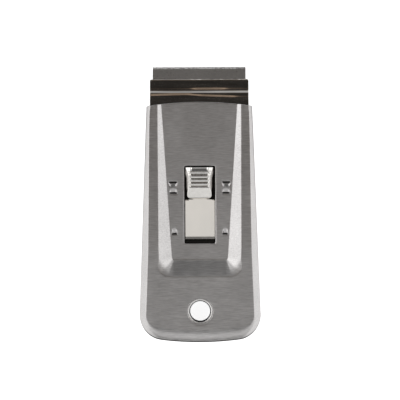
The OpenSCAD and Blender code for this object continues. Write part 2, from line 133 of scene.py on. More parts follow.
mouth_y, rear_y = 42.365, -56.935
mouth_half, side_slope, mouth_bow, bow_y = 21.85, 0.03708, 140.0, 30.0
panel_z, panel_y0, rim_mouth_z, rim_z, rim_kink_y = 5.075, -23.005, 5.995, 8.295, -20.035
panel_mouth_half, panel_rear_half = 15.75, 11.5
flute_rise, tail_rise = math.tan(math.radians(31)), math.tan(math.radians(26))
pocket_r, pocket_soft = 1.2, 0.16
# Facets round the pocket's rear corners: the way each faces and where it ends, in degrees from the side.
corner_facets = ((36, 47), (58, 69), (80, 85), (90, 91))
flank_angle, skirt_r, taper_len = math.radians(61), 2.6, 60.0
crease_mouth_r, crease_rear_r, skirt_mouth_z, skirt_rear_z = 0.35, 0.8, 3.85, 3.5
corner_r, corner_x, corner_y, rear_bow = 10.4, 14.746, -45.59, 126.0
corner_turn = math.pi / 2 - math.asin(corner_x / (rear_bow - corner_r))
roll_r, roll_turn, edge_in = 5.4, math.radians(40), 0.68
hem_r, hem_w, sheet_t = 0.9, 2.6, 0.7
window_half, window_y0, window_y1, window_r = 6.36, -16.105, 15.86, 0.25
lip_w, lip_drop = 0.45, {"right": 0.25, "left": 0.06, "front": 0.16, "rear": 0.0}
front_foot, rear_foot, slit = (4.95, 9.05), (-12.0, -9.36), 0.45
foot_in, foot_drop, cheek = 9.35, (1.12, 0.7, 0.9), 0.85
foot_outer, foot_mid_y, foot_taper, foot_clear = 12.55, 6.9, 0.0461, 0.6
hole_y, hole_r, dish_r, dish_drop = -43.935, 5.1, 6.75, 0.07


def ease(t):
    """Soft step from 0 to 1."""
    t = min(1.0, max(0.0, t))
    return t * t * (3 - 2 * t)


def soft_min(a, b, k):
    """The lower of two heights, blended where they are less than k apart."""
    h = max(k - abs(a - b), 0.0) / k
    return min(a, b) - h * h * k / 4


def rim_height(y):
    """Rim of the shell: rises from the mouth back, then runs level."""
    rising = rim_mouth_z + (mouth_y - y) * (rim_z - rim_mouth_z) / (mouth_y - rim_kink_y)
    return soft_min(rising, rim_z, 0.12)


def panel_half(y):
    """Half width of the sunk panel, which narrows towards the rear."""
    t = min(1.0, (mouth_y - y) / (mouth_y - panel_y0))
    return panel_mouth_half + (panel_rear_half - panel_mouth_half) * t


def soft_ramp(t):
    """Straight fall from 0 to 1 that starts with a short bend."""
    return (t * t / 0.36 if t < 0.18 else t - 0.09) / 0.91


def foot_out(y):
    """Outer edge of the feet, which stays clear of the flutes."""
    return min(foot_outer - (foot_mid_y - y) * foot_taper, panel_half(y) - foot_clear)


def foot_depth(x, y):
    """How far a lanced foot is pressed in at a point."""
    side = ease((abs(x) - foot_in) / cheek) * ease((foot_out(y) - abs(x)) / cheek)
    if front_foot[0] - 0.01 <= y <= front_foot[1] + 0.01:
        middle, reach = sum(front_foot) / 2, (front_foot[1] - front_foot[0]) / 2
        return foot_drop[0 if y > middle else 1] * side * soft_ramp(abs(y - middle) / reach)
    if rear_foot[0] - 0.01 <= y <= rear_foot[1]:
        return foot_drop[2] * side * soft_ramp((rear_foot[1] - y) / (rear_foot[1] - rear_foot[0]))
    return 0.0


def shell_height(x, y):
    """Top of the sheet: the rim, the sunk panel, the feet, the window's turned lip and the dished hole."""
    top, bend = rim_height(y), pocket_soft
    dx, dy = abs(x) - panel_half(y) + pocket_r, panel_y0 + pocket_r - y
    if dx > 0 and dy > 0:
        # Rear end of a flute: facets round the corner, under a shoulder where the rim falls softly.
        turn, from_corner = math.degrees(math.atan2(dy, dx)), math.hypot(dx, dy)
        facing = turn
        if turn >= corner_facets[0][0]:
            facing = next(facet for facet, end in corner_facets if turn < end)
        past_wall = from_corner * math.cos(math.radians(turn - facing)) - pocket_r
        shoulder_r = 6.4 + 2.2 * ease(turn / 42) - 0.8 * ease((turn - 60) / 30)
        shoulder_fall = 0.22 + 0.08 * ease((turn - 30) / 15)
        top -= shoulder_fall * max(0.0, shoulder_r - from_corner)
        bend += 0.2 * ease(min(turn, 90 - turn) / 20)
    else:
        turn = 90.0 if dy > dx else 0.0
        past_wall = max(dx, dy) - pocket_r
    wall = past_wall * (flute_rise + (tail_rise - flute_rise) * ease(turn / 90))
    pocket = panel_z - soft_min(0.0, -wall, pocket_soft)
    z = soft_min(top, pocket, bend) - foot_depth(x, y)
    past_edge, side = max((x - window_half, "right"), (-x - window_half, "left"),
                          (y - window_y1, "front"), (window_y0 - y, "rear"))
    z -= lip_drop[side] * max(0.0, 1 - max(0.0, past_edge) / lip_w)
    from_hole = math.hypot(x, y - hole_y)
    return z - dish_drop * ease((dish_r - from_hole) / (dish_r - hole_r))


def spread(a, b, count):
    """Even steps from a towards b, without b."""
    return [a + (b - a) * i / count for i in range(count)]


def run_through(marks):
    """Steps through marks, each with the count of even steps to the next; the last mark is included."""
    steps = []
    for (a, count), (b, _) in zip(marks, marks[1:]):
        steps += spread(a, b, count)
    return steps + [marks[-1][0]]


def taper(mouth, rear, y):
    """A size of the flanks at y, which changes over the front part of the casing."""
    return mouth + (rear - mouth) * min(1.0, (mouth_y - y) / taper_len)


def crease_r(y):
    """Radius of the crease between rim and flank: tight at the mouth, soft at the rear."""
    return taper(crease_mouth_r, crease_rear_r, y)


def skirt_z(y):
    """Height at which the flank turns down into the upright skirt."""
    return taper(skirt_mouth_z, skirt_rear_z, y)


def top_inset(y):
    """Distance in plan from the side of the shell to the start of the crease."""
    flank = (rim_height(y) - skirt_z(y)) / math.tan(flank_angle)
    return flank + crease_r(y) * math.tan(flank_angle / 2)


def side_profile(y):
    """Points (inset, height) from the rim over the crease and down the flank to the skirt."""
    inset, z, bend = top_inset(y), rim_height(y) - crease_r(y), crease_r(y)
    points = []
    for i in range(1, 7):
        a = flank_angle * i / 6
        points.append((inset - bend * math.sin(a), z + bend * math.cos(a)))
    low = math.pi / 2 - flank_angle
    level = skirt_z(y) - skirt_r * math.tan(low / 2)
    foot = (skirt_r - skirt_r * math.cos(low), level + skirt_r * math.sin(low))
    top = points[-1]
    points += [(top[0] + (foot[0] - top[0]) * t, top[1] + (foot[1] - top[1]) * t) for t in (0.15, 0.85)]
    for i in range(4):
        a = low * (1 - i / 3)
        points.append((skirt_r - skirt_r * math.cos(a), level + skirt_r * math.sin(a)))
    return points


def rear_profile():
    """The roll at the rear end: a wide arc, then a steep fall to the skirt."""
    wide_r = (roll_r - edge_in) / math.sin(roll_turn)
    points = [(roll_r - wide_r * math.sin(a), rim_z - wide_r * (1 - math.cos(a)))
              for a in (roll_turn * i / 8 for i in range(1, 9))]
    z = points[-1][1]
    return points + [(0.57, z - 0.13), (0.47, z - 0.3), (0.12, z - 1.1), (0.0, z - 1.65)]


hem_profile = [(0.0, 1.1)] + [
    (hem_r - hem_r * math.cos(a), hem_r - hem_r * math.sin(a))
    for a in (math.pi / 2 * i / 5 for i in range(6))] + [(1.6, 0.0), (hem_w, 0.0)]

# Rows run from the mouth to the rear, closer together where the sheet bends.
hole_front = -36.6
rows = run_through((
    (mouth_y, 3), (40.5, 22), (window_y1 + lip_w, 1), (window_y1, 7),
    (front_foot[1] + slit, 1), (front_foot[1], 12), (front_foot[0], 1), (front_foot[0] - slit, 14),
    (rear_foot[1], 8), (rear_foot[0], 1), (rear_foot[0] - slit, 5), (window_y0, 1),
    (window_y0 - lip_w, 5), (-21.3, 30), (-31.3, 5), (hole_front, 8), (corner_y, 0)))[:-1]


def round_corner(angle):
    """Rear corner at an angle from the side: outline, inward direction, share of roll, edge of the top."""
    share = ease(angle / corner_turn)
    inset = top_inset(corner_y) * (1 - share) + roll_r * share
    inward = (-math.cos(angle), math.sin(angle))
    edge = (corner_x - corner_r * inward[0], corner_y - corner_r * inward[1])
    return edge, inward, share, (edge[0] + inward[0] * inset, edge[1] + inward[1] * inset)


def round_rear(x):
    """The same along the rear edge of the top, at x: bowed in the middle, then into the corners."""
    side = math.copysign(1.0, x)
    x = abs(x)
    if x <= round_corner(corner_turn)[3][0]:
        a = math.asin(x / (rear_bow - roll_r))
        sag = 1 - math.cos(a)
        edge = (rear_bow * math.sin(a), rear_y + rear_bow * sag)
        inward, share = (-math.sin(a), math.cos(a)), 1.0
        top_y = rear_y + roll_r + (rear_bow - roll_r) * sag
    else:
        low, high = split_turn, corner_turn
        for _ in range(30):
            angle = (low + high) / 2
            low, high = (angle, high) if round_corner(angle)[3][0] > x else (low, angle)
        edge, inward, share, (_, top_y) = round_corner(angle)
    return (edge[0] * side, edge[1]), (inward[0] * side, inward[1]), share, top_y


# The last rows turn with the rear corners and bend to the rear edge.
corner_steps, split_turn = 8, math.radians(48)
last_x, last_y = round_corner(split_turn)[3]
# Columns run from the middle out: past the window's lip, a foot, the flute's wall and its crest.
wall_in, wall_out, crest_in, crest_out = 0.35, 0.45, 16.7, 17.6
grid, outlines = [], []
for i in range(len(rows) + corner_steps + 1):
    turn = max(0, i - len(rows)) / corner_steps
    if i < len(rows):
        y = rows[i]
        edge, inward, share = (mouth_half + (mouth_y - y) * side_slope, y), (-1.0, 0.0), 0.0
        ring_x, ring_y = edge[0] - top_inset(y), y
        full = ring_x
    else:
        y = corner_y
        edge, inward, share, (ring_x, ring_y) = round_corner(split_turn * turn)
    half = panel_half(y)
    stations = run_through((
        (0.0, 8), (window_half, 1), (window_half + lip_w, 4), (foot_in, 9), (foot_out(y), 1),
        (half - wall_in, 6), (half + wall_out, 14), (crest_in, 6), (crest_out, 6), (full, 0)))
    bowed = ease((y - bow_y) / (mouth_y - bow_y)) if i < len(rows) else 0.0
    line = []
    for station in [-t for t in stations[:0:-1]] + stations:
        x = station * ring_x / full
        py = ring_y - bowed * x * x / (2 * mouth_bow)
        if turn and abs(station) < full:
            py += turn * (round_rear(station * last_x / full)[3] - last_y)
        line.append((x, py, shell_height(x, py)))
    grid.append(line)
    outlines.append((edge, inward, share, bowed, y))
columns = len(grid[0])
middle = columns // 2

vertices, index = [], {}
for i, line in enumerate(grid):
    for j, point in enumerate(line):
        index[i, j] = len(vertices)
        vertices.append(point)
# Columns counted from the middle: the window's edge, then the two edges of a foot.
window_j, foot_j0, foot_j1 = 8, 13, 22
row_at = {round(y, 3): i for i, y in enumerate(rows)}
window_rows = range(row_at[round(window_y1, 3)], row_at[round(window_y0, 3)])
slit_rows = {row_at[round(y, 3)] for y in (front_foot[1] + slit, front_foot[0], rear_foot[0])}
hole_rows = range(row_at[hole_front], len(rows) + corner_steps - 1)
faces = []
for i in range(len(grid) - 1):
    for j in range(columns - 1):
        near, far = sorted((abs(j - middle), abs(j + 1 - middle)))
        in_window = i in window_rows and far <= window_j
        in_slit = i in slit_rows and foot_j0 <= near < foot_j1
        in_hole = i in hole_rows and far <= foot_j0
        if not (in_window or in_slit or in_hole):
            faces.append((index[i, j], index[i + 1, j], index[i + 1, j + 1], index[i, j + 1]))
# Each corner point of the window moves in onto its small arc.
corner_cut = window_r * 0.29
for sx in (-1, 1):
    for end_y, sy in ((window_y1, -1), (window_y0, 1)):
        corner = index[row_at[round(end_y, 3)], middle + sx * window_j]
        x, y, z = vertices[corner]
        vertices[corner] = (x - sx * corner_cut, y + sy * corner_cut, z)
# The hole is a fan of rings between the block left out above and the rim of the eyelet, closer
# together at the rim.
hole_rings, crowding = 12, 1.4
first, last = hole_rows[0], hole_rows[-1] + 1
loop = [(i, middle - foot_j0) for i in range(first, last)]
loop += [(last, j) for j in range(middle - foot_j0, middle + foot_j0)]
loop += [(i, middle + foot_j0) for i in range(last, first, -1)]
loop += [(first, j) for j in range(middle + foot_j0, middle - foot_j0, -1)]
previous = [index[key] for key in loop]
for step in range(1, hole_rings + 1):
    t = 1 - (1 - step / hole_rings) ** crowding
    ring = []
    for i, j in loop:
        x, y, _ = grid[i][j]
        a = math.atan2(y - hole_y, x)
        px = x + (hole_r * math.cos(a) - x) * t
        py = y + (hole_y + hole_r * math.sin(a) - y) * t
        ring.append(len(vertices))
        vertices.append((px, py, shell_height(px, py)))
    for k in range(len(loop)):
        n = (k + 1) % len(loop)
        faces.append((previous[k], previous[n], ring[n], ring[k]))
    previous = ring
# Flanks, roll, skirt and hem: one profile swept round the open edge of the grid.
edge_of_grid = [(i, columns - 1, 1) for i in range(len(grid))]
edge_of_grid += [(len(grid) - 1, j, 0) for j in range(columns - 2, 0, -1)]
edge_of_grid += [(i, 0, -1) for i in range(len(grid) - 1, -1, -1)]
previous = None
for i, j, side in edge_of_grid:
    edge, inward, share, bowed, y = outlines[i]
    if side:
        start, inward = (edge[0] * side, edge[1]), (inward[0] * side, inward[1])
    else:
        start, inward, share, _ = round_rear(grid[i][j][0])
    profile = [(d0 + (d1 - d0) * share, z0 + (z1 - z0) * share)
               for (d0, z0), (d1, z1) in zip(side_profile(y), rear_profile())] + hem_profile
    strip = [index[i, j]]
    for d, z in profile:
        px, py = start[0] + inward[0] * d, start[1] + inward[1] * d
        py -= bowed * px * px / (2 * mouth_bow)
        strip.append(len(vertices))
        vertices.append((px, py, z))
    if previous:
        for k in range(len(strip) - 1):
            faces.append((previous[k], strip[k], strip[k + 1], previous[k + 1]))
    previous = strip


def make_piece(name, points, polygons, material, body, node):
    """Smooth mesh object from points in millimetres, riding on a body in place of a CAD node."""
    mesh = bpy.data.meshes.new(name)
    mesh.from_pydata([(x * MM, y * MM, z * MM) for x, y, z in points], [], polygons)
    mesh.materials.append(material)
    mesh.shade_smooth()
    piece = bpy.data.objects.new(name, mesh)
    bpy.context.scene.collection.objects.link(piece)
    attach(piece, body)
    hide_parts(node)
    return piece


def give_edges(piece, width_mm, thick_mm=None):
    """Wall thickness below the drawn face, then a small broken edge on every sharp corner."""
    if thick_mm:
        wall = piece.modifiers.new("sheet", "SOLIDIFY")
        wall.thickness, wall.offset = thick_mm * MM, -1.0
    broken = piece.modifiers.new("broken_edge", "BEVEL")
    broken.width, broken.segments, broken.limit_method = width_mm * MM, 2, "ANGLE"
    broken.angle_limit, broken.use_clamp_overlap = math.radians(50), False
    shade = piece.modifiers.new("even_shade", "WEIGHTED_NORMAL")
    shade.keep_sharp = True


shell = make_piece("casing_front", vertices, faces, brushed_stainless, "handle", "front_shell")
give_edges(shell, 0.2, sheet_t)


# Hang eyelet. Tube of bright plated steel set through both halves of the casing: flared into the
# dished hole at the front, and turned out flat under the back plate.

# Bright plated steel: smooth, so the flare shows a clear ring of light round the hole. Down the bore it is
# painted dark, painted shade inside the tube, so the hole's rim reads as a crisp edge.
bright_plate = steel("bright_plated_steel", "#eceae8", "#f4f2f0", (3.0, 3.0, 3.0), (0.3, 0.36), 0.05)
bore_shade_mid, bore_shade_reach = 4.35, 3.5
paint_shade(bright_plate, "Z", "COMPARE", [bore_shade_mid, bore_shade_reach], "#2e2c2a")
tube_r, tube_wall, flange_r, flange_z, flange_top = 4.1, 0.5, 6.2, 0.3, 0.68
rim_r, rim_top = 5.0, 8.2
# Section of the ring, as (radius, height): the flange below, up the outside, over the flare, down the bore.
profile = [
    (tube_r + 0.32, flange_z + 0.3), (tube_r + 0.42, flange_z + 0.08), (tube_r + 0.6, flange_z),
    (flange_r - 0.15, flange_z), (flange_r, flange_z + 0.15), (flange_r, 0.6),
    (flange_r - 0.1, flange_top), (tube_r + tube_wall, flange_top), (tube_r + tube_wall, 7.2),
    (rim_r + 0.08, 7.7)]
profile += [(rim_r + out, rim_top - drop) for out, drop in (
    (0.1, 0.2), (0.08, 0.08), (0.05, 0.03), (0.02, 0.004), (-0.02, 0.004), (-0.08, 0.02), (-0.2, 0.055),
    (-0.34, 0.097), (-0.46, 0.135), (-0.5, 0.17), (-0.52, 0.26))]
profile += [
    (4.4, 7.7), (4.28, 7.45), (4.18, 7.2), (tube_r, 6.85), (tube_r + 0.02, 5.5), (tube_r + 0.1, 3.2),
    (tube_r + 0.22, 1.3)]
turns = 96
points, polygons = [], []
for k in range(turns):
    a = 2 * math.pi * k / turns
    points += [(r * math.cos(a), hole_y + r * math.sin(a), z) for r, z in profile]
for k in range(turns):
    here, beyond = k * len(profile), (k + 1) % turns * len(profile)
    for m in range(len(profile)):
        n = (m + 1) % len(profile)
        polygons.append((here + m, beyond + m, beyond + n, here + n))
eyelet = make_piece("hang_ring", points, polygons, bright_plate, "handle", "hang_eyelet")
outward = bmesh.new()
outward.from_mesh(eyelet.data)
bmesh.ops.recalc_face_normals(outward, faces=outward.faces)
outward.to_mesh(eyelet.data)
outward.free()
give_edges(eyelet, 0.05)


# Carrier plate. Blanked steel plate that slides in the casing under the blade; a slot across it takes
# the blade's spine, and its tail carries the spring.

# Rolled steel painted dark, darker than the casing: painted shade for the inside of the casing, with faint
# rolling lines along its length.
rolled_steel = steel("carrier_steel_painted_shade", "#2b2a28", "#3b3a38", (0.3, 8.0, 0.3), (0.36, 0.5), 0.2)
dress("carrier_plate", rolled_steel)


# Blade and spine. Single-edge razor blade of ground carbon steel with a honed edge, its back
# stiffened by a folded steel spine that drops into the carrier's slot.

edge_y, bevel_mm = 56.935, 0.78
# Ground blade steel: fine grinding lines along the edge; the honed bevel is lighter and speckled.
blade_steel = steel("ground_blade_steel", "#a3a19f", "#b3b1af", (0.9, 0.5, 0.5), (0.27, 0.31), 0.0)
tree = blade_steel.node_tree
shader = next(n for n in tree.nodes if n.type == "BSDF_PRINCIPLED")
ground = shader.inputs["Base Color"].links[0].from_socket
ground_rough = shader.inputs["Roughness"].links[0].from_socket
place = add_node(tree, "ShaderNodeTexCoord")
along = add_node(tree, "ShaderNodeSeparateXYZ", {"Vector": place.outputs["Object"]})
honed = add_node(tree, "ShaderNodeMath", {
    0: along.outputs["Y"], 1: (edge_y - bevel_mm) * MM}, operation="GREATER_THAN")
grit = add_node(tree, "ShaderNodeTexNoise", {
    "Vector": place.outputs["Object"], "Scale": 1500.0, "Detail": 1.0})
speckle = add_node(tree, "ShaderNodeMapRange", {
    "Value": grit.outputs[0], "From Min": 0.42, "From Max": 0.6})
hone_colour = add_node(tree, "ShaderNodeMix", {
    0: speckle.outputs[0], 6: linear("#9e9d9c"), 7: linear("#dad9d8")}, data_type="RGBA")
edge_colour = add_node(tree, "ShaderNodeMix", {
    0: honed.outputs[0], 6: ground, 7: hone_colour.outputs[2]}, data_type="RGBA")
edge_rough = add_node(tree, "ShaderNodeMix", {0: honed.outputs[0], 2: ground_rough, 3: 0.75})
tree.links.new(edge_colour.outputs[2], shader.inputs["Base Color"])
tree.links.new(edge_rough.outputs[0], shader.inputs["Roughness"])
for node in ("blade", "blade_spine"):
    dress(node, blade_steel)


# Clamp plate. Polished spring-steel plate that presses on the blade; it is set up over the spine
# by a soft bend, steps down behind it, and is riveted to the carrier.

# Polished spring steel: nearly a mirror, so it shows the dark of the room with clear bright lines.
mirror_steel = steel("polished_spring_steel", "#b4b1ad", "#e2dfdb", (20.0, 1.5, 1.5), (0.06, 0.1), 0.02)
clamp_half, clamp_t, lip_y, clamp_y0, clamp_cells = 20.48, 0.6, 51.935, 30.035, 40
lip_z, crown_z, bend_mid, drop_y, drop_len, tail_z = 3.25, 3.895, 46.6, 37.7, 2.3, 3.0
# The ground front lip, as (distance back, drop), and how far its rounded ends stand in, row by row.
lip_bevel = ((0.0, 0.32), (0.05, 0.27), (0.31, 0.01), (0.37, 0.0))
lip_ends = (0.55, 0.4, 0.12, 0.08, 0.0)
bend_rise, bend_reach = 0.296, 0.68


def soft_step(t):
    """Step from 0 to 1 that starts and ends level."""
    t = min(1.0, max(0.0, t))
    return t - math.sin(2 * math.pi * t) / (2 * math.pi)


def along_line(line, t, soft=0.3):
    """Value on a bent line at t, eased at its corners over a length soft to each side."""
    total = 0.0
    for shift in (-soft, -soft / 2, 0.0, soft / 2, soft):
        u = min(line[-1][0], max(line[0][0], t + shift))
        for (a, za), (b, zb) in zip(line, line[1:]):
            if u <= b:
                total += (za + (zb - za) * (u - a) / (b - a)) / 5
                break
    return total


def bend_slope(x, d):
    """Slope of the set-up bend at a distance d before its middle: steep there, a wavy shoulder each side."""
    slope = bend_rise * ease((bend_reach - abs(d)) / 0.42)
    front = along_line([(-20, 0.055), (-3.5, 0.06), (-1.5, 0.1), (9.5, 0.1), (12, 0.06), (20, 0.05)], x)
    slope += front * ease((bend_reach - abs(d - 1.35)) / 0.5)
    rear = along_line([(-20, 0.098), (-4, 0.095), (-1.5, 0.08), (0.5, 0.1), (13, 0.1), (16, 0.06),
                       (20, 0.05)], x)
    far = along_line([(-20, 1.2), (-5, 0.95), (0, 1.4), (14, 1.9), (20, 2.0)], x)
    return slope + rear * ease((bend_reach - abs(d + far)) / 0.5)


def sheet_faces(row_count, per_row):
    """Faces of a sheet whose points run row by row."""
    return [(a, a + per_row, a + per_row + 1, a + 1)
            for k in range(row_count - 1) for a in range(k * per_row, (k + 1) * per_row - 1)]


clamp_rows = [lip_y - back for back, _ in lip_bevel] + [lip_y - 0.7, lip_y - 1.2]
clamp_rows += run_through((
    (lip_y - 1.8, 3), (bend_mid + 2.6, 56), (bend_mid - 3.0, 8), (drop_y, 16), (drop_y - drop_len, 5),
    (clamp_y0, 0)))
# The slope is summed up along each column; what is left to the crown is spread over the plate.
risen = []
for j in range(clamp_cells + 1):
    x = clamp_half * (2 * j / clamp_cells - 1)
    rise, total = [0.0], 0.0
    for y0, y1 in zip(clamp_rows, clamp_rows[1:]):
        total += bend_slope(x, (y0 + y1) / 2 - bend_mid) * (y0 - y1)
        rise.append(total)
    rest = crown_z - lip_z - total
    risen.append([r + rest * min(1.0, (lip_y - y) / (lip_y - drop_y)) for r, y in zip(rise, clamp_rows)])
points = []
for k, y in enumerate(clamp_rows):
    half = clamp_half - lip_ends[min(k, len(lip_ends) - 1)]
    bevel = lip_bevel[k][1] if k < len(lip_bevel) else 0.0
    for j in range(clamp_cells + 1):
        z = lip_z + risen[j][k] + (tail_z - crown_z) * soft_step((drop_y - y) / drop_len)
        points.append((half * (2 * j / clamp_cells - 1), y, z - bevel))
clamp = make_piece("blade_clamp", points, sheet_faces(len(clamp_rows), clamp_cells + 1), mirror_steel,
                   "carrier", "clamp_plate")
give_edges(clamp, 0.14, clamp_t)


# Jaw rivets and spring rivets. Two pairs of plain steel rivets set through the carrier: the jaw pair
# holds the clamp plate, the spring pair the foot of the spring. Their sunk ends are flush below.

def start_tree(name, sizes):
    """New geometry-nodes tree with inputs for sizes and a metal: the tree, and its inputs by name."""
    tree = bpy.data.node_groups.new(name, "GeometryNodeTree")
    for label in sizes:
        kind = "NodeSocketInt" if label == "Count" else "NodeSocketFloat"
        tree.interface.new_socket(label, in_out="INPUT", socket_type=kind)
    tree.interface.new_socket("Metal", in_out="INPUT", socket_type="NodeSocketMaterial")
    tree.interface.new_socket("Geometry", in_out="OUTPUT", socket_type="NodeSocketGeometry")
    return tree, add_node(tree, "NodeGroupInput").outputs


def end_tree(tree, points, form, metal):
    """Sets a form on every point, gives it its metal and smooth shading, and ends the tree."""
    placed = add_node(tree, "GeometryNodeInstanceOnPoints", {"Points": points, "Instance": form})
    real = add_node(tree, "GeometryNodeRealizeInstances", {"Geometry": placed.outputs[0]})
    plated = add_node(tree, "GeometryNodeSetMaterial", {"Geometry": real.outputs[0], "Material": metal})
    smooth = add_node(tree, "GeometryNodeSetShadeSmooth", {"Geometry": plated.outputs[0]})
    add_node(tree, "NodeGroupOutput", {"Geometry": smooth.outputs[0]})


def rivet_tree(name):
    """Geometry nodes: a pair of domed rivets, a span apart, on shanks that run down to the carrier."""
    tree, get = start_tree(name, (
        "Span", "Place Y", "Seat Z", "Foot Z", "Head Radius", "Head Height", "Shank Radius"))
    half = add_node(tree, "ShaderNodeMath", {0: get["Span"], 1: -0.5}, operation="MULTIPLY")
    start = add_node(tree, "ShaderNodeCombineXYZ", {"X": half.outputs[0], "Y": get["Place Y"]})
    step = add_node(tree, "ShaderNodeCombineXYZ", {"X": get["Span"]})
    pair = add_node(tree, "GeometryNodeMeshLine", {
        "Count": 2, "Start Location": start.outputs[0], "Offset": step.outputs[0]})
    dome = add_node(tree, "GeometryNodeMeshUVSphere", {"Segments": 32, "Rings": 16, "Radius": 1.0})
    dome_size = add_node(tree, "ShaderNodeCombineXYZ", {
        "X": get["Head Radius"], "Y": get["Head Radius"], "Z": get["Head Height"]})
    dome_place = add_node(tree, "ShaderNodeCombineXYZ", {"Z": get["Seat Z"]})
    head = add_node(tree, "GeometryNodeTransform", {
        "Geometry": dome.outputs["Mesh"], "Translation": dome_place.outputs[0],
        "Scale": dome_size.outputs[0]})
    length = add_node(tree, "ShaderNodeMath", {0: get["Seat Z"], 1: get["Foot Z"]}, operation="SUBTRACT")
    shank = add_node(tree, "GeometryNodeMeshCylinder", {
        "Vertices": 32, "Radius": get["Shank Radius"], "Depth": length.outputs[0]})
    level = add_node(tree, "ShaderNodeMath", {0: length.outputs[0], 1: 0.5, 2: get["Foot Z"]},
                     operation="MULTIPLY_ADD")
    shank_place = add_node(tree, "ShaderNodeCombineXYZ", {"Z": level.outputs[0]})
    stem = add_node(tree, "GeometryNodeTransform", {
        "Geometry": shank.outputs["Mesh"], "Translation": shank_place.outputs[0]})
    rivet = add_node(tree, "GeometryNodeJoinGeometry", {"Geometry": stem.outputs[0]})
    tree.links.new(head.outputs[0], rivet.inputs["Geometry"])
    end_tree(tree, pair.outputs["Mesh"], rivet.outputs[0], get["Metal"])
    return tree


def grow(name, tree, sizes):
    """Plain mesh object made by a geometry-nodes tree with the given sizes."""
    seed = bpy.data.objects.new(name, bpy.data.meshes.new(name + "_seed"))
    bpy.context.scene.collection.objects.link(seed)
    maker = seed.modifiers.new("maker", "NODES")
    maker.node_group = tree
    for item in tree.interface.items_tree:
        if item.in_out == "INPUT":
            maker[item.identifier] = sizes[item.name]
    bpy.context.view_layer.update()
    made = bpy.data.meshes.new_from_object(seed.evaluated_get(bpy.context.evaluated_depsgraph_get()))
    seed.modifiers.remove(maker)
    seed.data = made
    return seed


pair_of_rivets = rivet_tree("pair_of_rivets")
# Set rivet steel: dull grey from the setting tool, with no lines.
rivet_steel = steel("set_rivet_steel", "#a5a4a2", "#bab9b7", (0.8, 0.8, 0.8), (0.3, 0.45), 0.2)
for name, node, span, y, seat, height in (
        ("jaw_rivet_pair", "jaw_rivets", 27.0, 32.835, 3.0, 0.6),
        ("spring_rivet_pair", "spring_rivets", 7.0, -10.605, 2.9, 0.22)):
    rivets = grow(name, pair_of_rivets, {
        "Span": span * MM, "Place Y": y * MM, "Seat Z": seat * MM, "Foot Z": 1.62 * MM,
        "Head Radius": 1.5 * MM, "Head Height": height * MM, "Shank Radius": 0.9 * MM,
        "Metal": rivet_steel})
    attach(rivets, "carrier")
    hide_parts(node)


# Spring foot and button leaf. One strip of nickel-plated spring steel folded into a hairpin: the foot
# is riveted to the carrier, and the leaf above it carries the button and pushes it up.

leaf_half, leaf_neck, leaf_z, spring_t, leaf_y1, leaf_y0 = 6.12, 3.6, 3.995, 0.5, 14.3, 2.6
flat_y, bend_y, curl_shade_y, foot_z, leaf_shift = -13.3, -14.35, -14.3, 2.4, 0.12
leaf_fall, facet_fall = math.tan(math.radians(1.7)), math.tan(math.radians(5.6))
# Where the neck widens into the leaf, and how far the rounded shoulder stands in at each y behind it.
neck_y, shoulder_in, leaf_cells = 2.12, {2.1: 0.5, 1.95: 0.15}, 8
# Satin nickel plate on strip: pale and warm, smooth enough to show soft lights. The curl at the rear end goes
# down into the casing and is painted dark there: painted shade.
satin_nickel = steel("satin_nickel_strip", "#e9e4dd", "#efebe4", (6.0, 9.0, 6.0), (0.13, 0.17), 0.02)
paint_shade(satin_nickel, "Y", "LESS_THAN", [curl_shade_y], "#3b3936")
# The foot, inside the casing, is painted dark: painted shade, so the gaps beside the leaf read black.
nickel_painted_shade = steel("oiled_nickel_strip", "#3b3936", "#4a4744", (6.0, 9.0, 6.0), (0.3, 0.4), 0.02)
dress("spring_foot", nickel_painted_shade)
# The leaf from front to rear: level neck, gentle fall, a short steeper facet, then the curl.
leaf_line = spread(leaf_y1, 2.9, 8) + [2.9, neck_y, *shoulder_in, 1.6] + run_through(((1.0, 16), (flat_y, 0)))
outline = [(y, leaf_z - max(0.0, leaf_y0 - y) * leaf_fall) for y in leaf_line]
facet_rows, curl_turn = (flat_y - 0.08, bend_y + 0.05), math.radians(160)
outline += [(y, outline[-1][1] - (flat_y - y) * facet_fall) for y in facet_rows]
bend_out = (outline[-1][1] - (facet_rows[1] - bend_y) * facet_fall - foot_z) / 2
outline += [(bend_y - bend_out * math.sin(a), foot_z + bend_out + bend_out * math.cos(a))
            for a in (curl_turn * i / 16 for i in range(17))]
points = []
for y, z in outline:
    half = leaf_neck if y >= neck_y else leaf_half - shoulder_in.get(y, 0.0)
    points += [(leaf_shift - half + 2 * half * j / leaf_cells, y, z) for j in range(leaf_cells + 1)]
leaf = make_piece("button_spring", points, sheet_faces(len(outline), leaf_cells + 1), satin_nickel,
                  "button", "button_leaf")
give_edges(leaf, 0.08, spring_t)


# Thumb button. Nickel-plated pressing staked to the leaf: a steep nose in front, a waisted top with
# three grip ribs, and a long smooth heel for the thumb.

# Bright nickel plate: pale metal with a soft gloss, so that pad and ribs show clear lights.
button_nickel = steel("bright_nickel_button", "#dfdcd8", "#eae8e4", (1.6, 1.6, 1.6), (0.13, 0.19), 0.03)
button_y0, button_len, rear_r, front_r, button_shift = 2.395, 13.16, 1.6, 0.7, -0.1
bed_t, nose_t, bed_half, nose_half = 4.7, 10.9, 3.6, 3.15
rib_first, rib_pitch, rib_half = 11.3, 1.54, 3.8


def button_half(t):
    """Half width of the button at a distance t from its rear end: waisted, with rounded ends."""
    half = along_line([(0.0, 5.3), (2.2, 5.35), (4.0, 5.45), (8.8, 5.5), (10.6, 5.9), (13.16, 5.95)], t)
    for end, r in ((t, rear_r), (button_len - t, front_r)):
        near = max(0.0, r - end)
        half -= r - math.sqrt(max(0.0, r * r - near * near))
    return half


